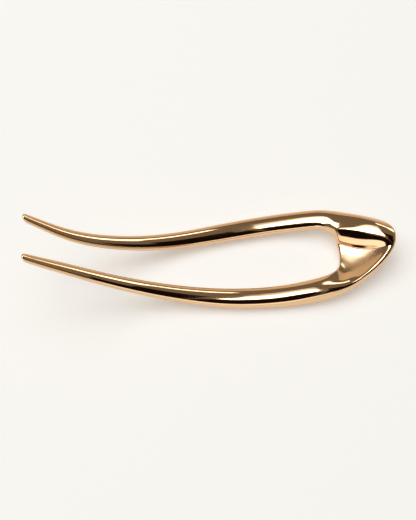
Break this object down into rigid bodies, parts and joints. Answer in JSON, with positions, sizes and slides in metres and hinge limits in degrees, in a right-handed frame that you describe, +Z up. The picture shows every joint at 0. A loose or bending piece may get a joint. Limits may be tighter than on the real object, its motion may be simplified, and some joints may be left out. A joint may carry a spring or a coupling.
{
  "type": "french hair pin",
  "caption": "Cast, polished gold-coloured hair pin with two bowed, tapering prongs joined by a hollowed, pointed crown.",
  "frame": {"origin": "bottom centre of the bounding box, on the surface that the pin lies on", "axes": "+X along the pin from the tips to the crown, +Y across the prongs, +Z up through the hollow side"},
  "size_m": [0.1094, 0.0326, 0.029],
  "materials": {
    "gold_plate": "polished"
  },
  "bodies": {
    "root": {"pin": "gold_plate"}
  },
  "joints": []
}
